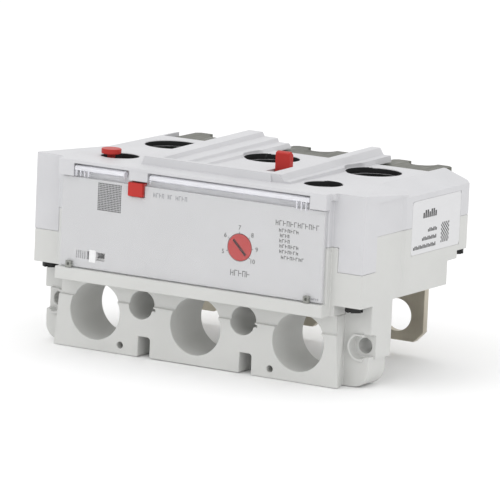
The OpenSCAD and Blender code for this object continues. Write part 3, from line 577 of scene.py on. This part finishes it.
def repaint(piece, material, chosen):
    """Gives the faces for which chosen(centre, normal, top) is true a second material."""
    piece.data.materials.append(material)
    index = len(piece.data.materials) - 1
    for face in piece.data.polygons:
        top = max(piece.data.vertices[i].co.z for i in face.vertices)
        if chosen(face.center, face.normal, top):
            face.material_index = index


HOLES = [(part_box("access_sleeve_" + side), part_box("sight_cup_" + side))
         for side in ("left", "middle", "right")]


DECK_TOP = 71.3 * MM      # just above the deck, below the ribs that cross it
DIAL_SLOT_R = 4.4 * MM
DIAL_SLOT_DEPTH = (0.12 * MM, 1.4 * MM)


def in_deck_hole(centre, normal, top):
    """True on the upright wall of a round hole in the deck, which is painted black as painted
    shade.
    """
    under_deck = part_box("access_sleeve_left")[1].z - 0.3 * MM
    if abs(normal.z) > 0.3 or top > DECK_TOP or centre.z < under_deck:
        return False
    for pair in HOLES:
        for low, high in pair:
            middle_x, middle_y = (low.x + high.x) / 2, (low.y + high.y) / 2
            radius = (high.x - low.x) / 2
            if math.hypot(centre.x - middle_x, centre.y - middle_y) < radius - 0.6 * MM:
                return True
    return False


def in_dial_slot(centre, _normal, _top):
    """True inside the driver slot of the dial, whose faces get painted shade."""
    low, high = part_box("setting_dial")
    middle_x, middle_z = (low.x + high.x) / 2, (low.z + high.z) / 2
    behind = centre.y - low.y
    nearest, deepest = DIAL_SLOT_DEPTH
    return (nearest < behind < deepest
            and math.hypot(centre.x - middle_x, centre.z - middle_z) < DIAL_SLOT_R)


# ---------------------------------------------------------------- clear cover

def clear_cover():
    piece = rounded_copy("clear_cover", 0.12 * MM, CLEAR)
    # painted highlight: the rod above the hinge line gets the whitish, mostly opaque rod
    # material
    piece.data.materials.append(CLEAR_ROD_HIGHLIGHT)
    hinge_z = 66.7 * MM
    for face in piece.data.polygons:
        if face.center.z > hinge_z:
            face.material_index = 1
    # moulded ribs of the two hinge brackets
    bm = bmesh.new()
    for k in range(4):
        x = -49.2 + 1.7 * k
        add_box(bm, at(x, -7.2, 65.2), at(x + 0.4, -6.5, 68.6))
    for k in range(3):
        x = 44.2 + 1.9 * k
        add_box(bm, at(x, -7.2, 64.2), at(x + 0.4, -6.5, 67.6))
    # painted highlight: the bracket ribs get the same whitish rod material
    ribs = add_mesh("cover_hinge_ribs", bm, CLEAR_ROD_HIGHLIGHT, smooth=False)
    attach(ribs, "clear_cover")
    for clear_piece in (piece, ribs):
        clear_piece.visible_shadow = False  # clear plastic lets the light through


# ---------------------------------------------------------------------- stage

def camera():
    azimuth, elevation, roll = (math.radians(a) for a in (30.32, 10.0, 2.55))
    target = at(-1.33, 39.43, 37.59)
    distance = 1.980
    back = Vector((math.sin(azimuth) * math.cos(elevation),
                   -math.cos(azimuth) * math.cos(elevation), math.sin(elevation)))
    level_right = Vector((math.cos(azimuth), math.sin(azimuth), 0))
    level_up = back.cross(level_right)
    right = math.cos(roll) * level_right + math.sin(roll) * level_up
    up = back.cross(right)
    data = bpy.data.cameras.new("camera")
    data.lens = 385.5
    data.sensor_width = 36
    data.clip_end = 20
    obj = bpy.data.objects.new("camera", data)
    bpy.context.scene.collection.objects.link(obj)
    obj.matrix_world = (Matrix.Translation(target + back * distance)
                        @ Matrix((right, up, back)).transposed().to_4x4())
    bpy.context.scene.camera = obj


def area_light(name, position, size, power):
    data = bpy.data.lights.new(name, "AREA")
    data.shape = "SQUARE"
    data.size = size
    data.energy = power
    obj = bpy.data.objects.new(name, data)
    bpy.context.scene.collection.objects.link(obj)
    obj.location = position
    obj.rotation_euler = (-Vector(position)).to_track_quat("-Z", "Y").to_euler()


def stage():
    bm = bmesh.new()
    bmesh.ops.create_grid(bm, x_segments=1, y_segments=1, size=12)
    floor = add_mesh("floor", bm, FLOOR, smooth=False)
    floor.location.z = cad_bounds[0][2] - 0.0002
    area_light("key", (-0.6, -0.9, 1.2), 0.9, 2.5)
    area_light("fill", (1.3, -0.5, 0.7), 1.0, 1.2)
    area_light("top", (-0.2, 0.4, 1.5), 1.2, 2)
    world = bpy.data.worlds.new("studio")
    bpy.context.scene.world = world
    world.use_nodes = True
    background = world.node_tree.nodes["Background"]
    background.inputs["Color"].default_value = (1, 1, 1, 1)
    background.inputs["Strength"].default_value = 1.0
    bpy.context.scene.view_settings.view_transform = "Standard"


dress_cad_nodes()
shells = {node_name: rounded_copy(node_name, edge_mm * MM, finish)
          for node_name, edge_mm, finish in ROUNDED}
# painted shade: the upright walls of the deck holes are painted black
repaint(shells["upper_cover"], BLACK, in_deck_hole)
# painted shade: the inside of the dial's driver slot is painted near-black red
repaint(shells["setting_dial"], SLOT_PAINTED_SHADE, in_dial_slot)
clear_cover()
face_prints()
dot_panel()
dial_scale()
side_prints()
camera()
stage()
